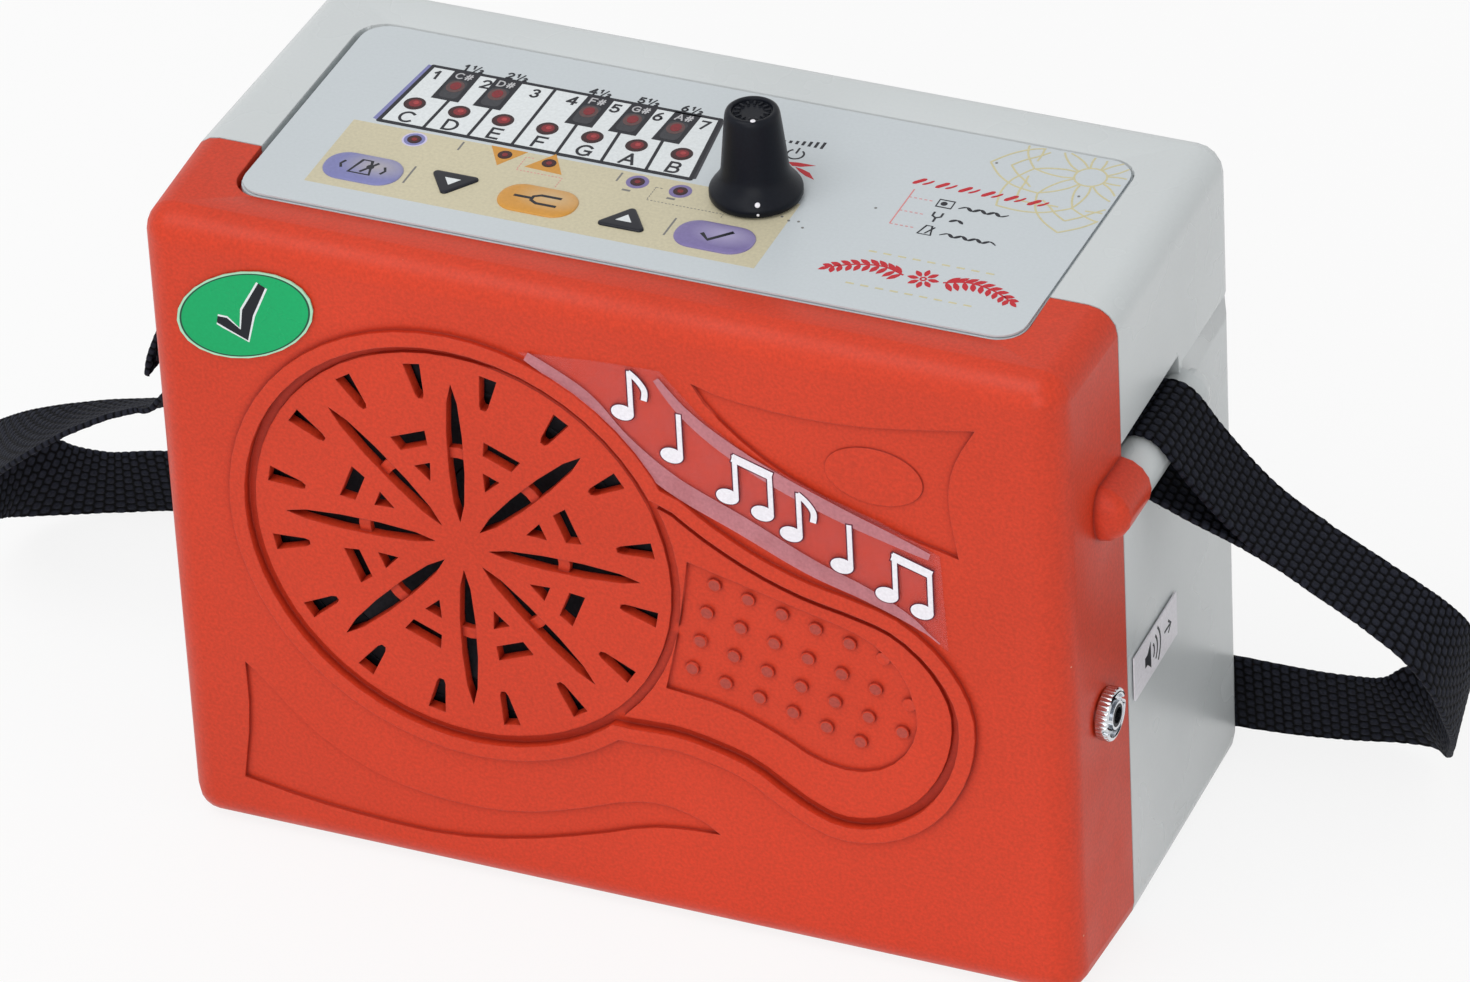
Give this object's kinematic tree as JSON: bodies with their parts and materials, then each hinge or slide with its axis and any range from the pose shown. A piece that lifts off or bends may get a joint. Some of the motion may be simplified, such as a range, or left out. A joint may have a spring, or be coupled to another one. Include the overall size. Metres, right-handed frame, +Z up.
{
  "type": "shruti box",
  "caption": "Electronic shruti box: two-shell plastic case with round speaker grille, note lamps, press keys, volume knob and carrying strap.",
  "frame": {"origin": "on the ground, at the middle of the case in width and depth", "axes": "+X to the right as seen from the grille, +Y to the back, +Z up"},
  "size_m": [0.3404, 0.1082, 0.1703],
  "materials": {
    "orange_shell": "satin moulded",
    "white_shell": "satin moulded",
    "panel_plate": "satin",
    "printed_label": "printed film",
    "lilac_key": "satin",
    "orange_key": "satin",
    "purple_key": "satin",
    "black_key": "satin",
    "black_plastic": "matt",
    "plunger_plastic": "satin",
    "board": "solder resist",
    "lamp_red": "tinted",
    "knob_black": "satin",
    "steel": "plated",
    "speaker_metal": "black coated",
    "speaker_paper": "pressed paper",
    "speaker_rubber": "matt",
    "copper_wire": "enamelled wire",
    "jack_chrome": "polished",
    "cell_wrap": "printed wrap",
    "lead_rubber": "matt",
    "strap_fabric": "woven webbing",
    "green_sticker": "printed film",
    "white_sticker": "printed film",
    "clear_film": "clear film"
  },
  "bodies": {
    "case": {"front_shell": "orange_shell", "rear_shell": "white_shell", "control_panel": "panel_plate", "panel_overlay": "printed_label", "metronome_switch": "black_plastic", "pitch_down_switch": "black_plastic", "fine_tune_switch": "black_plastic", "pitch_up_switch": "black_plastic", "select_switch": "black_plastic", "main_board": "board", "note_lamps": "lamp_red", "mark_lamps": "lamp_red", "volume_potentiometer": "steel", "potentiometer_washer": "steel", "potentiometer_nut": "steel", "board_screw_1": "steel", "board_screw_2": "steel", "speaker_screw_1": "steel", "speaker_screw_2": "steel", "speaker_screw_3": "steel", "speaker_screw_4": "steel", "case_screw_1": "steel", "case_screw_2": "steel", "case_screw_3": "steel", "case_screw_4": "steel", "battery_contact_left": "steel", "battery_contact_right": "steel", "speaker_frame": "speaker_metal", "speaker_magnet": "speaker_metal", "speaker_cone": "speaker_paper", "speaker_dust_cap": "speaker_paper", "speaker_surround": "speaker_rubber", "speaker_voice_coil": "copper_wire", "jack_nut": "jack_chrome", "speaker_jack": "jack_chrome", "power_socket": "black_plastic", "battery_cell_left_1": "cell_wrap", "battery_cell_left_2": "cell_wrap", "battery_cell_left_3": "cell_wrap", "battery_cell_right_1": "cell_wrap", "battery_cell_right_2": "cell_wrap", "battery_cell_right_3": "cell_wrap", "speaker_lead": "lead_rubber", "carrying_strap": "strap_fabric", "round_sticker": "green_sticker", "side_sticker": "white_sticker", "clear_film": "clear_film"},
    "volume_control": {"volume_knob": "knob_black", "potentiometer_shaft": "steel"},
    "battery_lid": {"battery_door": "white_shell"},
    "metronome_button": {"metronome_key": "lilac_key", "metronome_plunger": "plunger_plastic"},
    "pitch_down_button": {"pitch_down_key": "black_key", "pitch_down_plunger": "plunger_plastic"},
    "fine_tune_button": {"fine_tune_key": "orange_key", "fine_tune_plunger": "plunger_plastic"},
    "pitch_up_button": {"pitch_up_key": "black_key", "pitch_up_plunger": "plunger_plastic"},
    "select_button": {"select_key": "purple_key", "select_plunger": "plunger_plastic"}
  },
  "joints": [
    {"name": "metronome_press", "type": "slide", "parent": "case", "child": "metronome_button", "axis": [0, 0, -1], "range_m": [0, 0.0004], "stiffness_N_per_m": 2500, "springref_m": -0.0001},
    {"name": "pitch_down_press", "type": "slide", "parent": "case", "child": "pitch_down_button", "axis": [0, 0, -1], "range_m": [0, 0.0004], "stiffness_N_per_m": 2500, "springref_m": -0.0001},
    {"name": "fine_tune_press", "type": "slide", "parent": "case", "child": "fine_tune_button", "axis": [0, 0, -1], "range_m": [0, 0.0004], "stiffness_N_per_m": 2500, "springref_m": -0.0001},
    {"name": "pitch_up_press", "type": "slide", "parent": "case", "child": "pitch_up_button", "axis": [0, 0, -1], "range_m": [0, 0.0004], "stiffness_N_per_m": 2500, "springref_m": -0.0001},
    {"name": "select_press", "type": "slide", "parent": "case", "child": "select_button", "axis": [0, 0, -1], "range_m": [0, 0.0004], "stiffness_N_per_m": 2500, "springref_m": -0.0001},
    {"name": "volume_turn", "type": "hinge", "parent": "case", "child": "volume_control", "pos_m": [0.0171, -0.00215, 0.15], "axis": [0, 0, 1], "range_deg": [0, 300]},
    {"name": "battery_lid_swing", "type": "hinge", "parent": "case", "child": "battery_lid", "pos_m": [0, 0.04625, 0.02695], "axis": [-1, 0, 0], "range_deg": [0, 85]}
  ]
}
